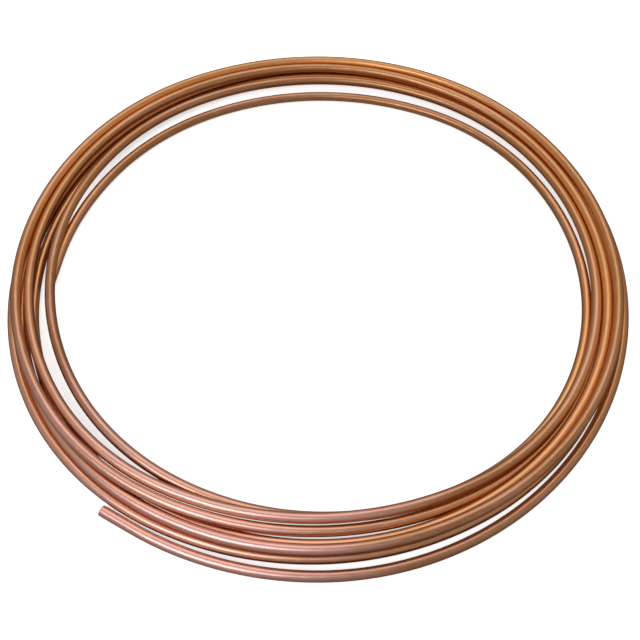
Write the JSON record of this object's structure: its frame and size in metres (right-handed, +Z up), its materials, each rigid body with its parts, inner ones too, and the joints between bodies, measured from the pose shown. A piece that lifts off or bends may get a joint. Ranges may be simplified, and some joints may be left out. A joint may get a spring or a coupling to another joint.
{
  "type": "copper tube coil",
  "caption": "Loose flat coil of soft round copper tube with plain cut ends, its turns crossing over and resting on each other.",
  "frame": {"origin": "under the middle of the coil, on the surface that it lies on", "axes": "+Z up, +Y towards the side where the innermost turn stands clear, -Y towards the side where the outermost turn stands clear; the outer end is at the left of -Y"},
  "size_m": [0.5014, 0.4984, 0.022],
  "materials": {
    "copper": "drawn bright copper, lightly tarnished"
  },
  "bodies": {
    "root": {"copper_tube": "copper"}
  },
  "joints": []
}
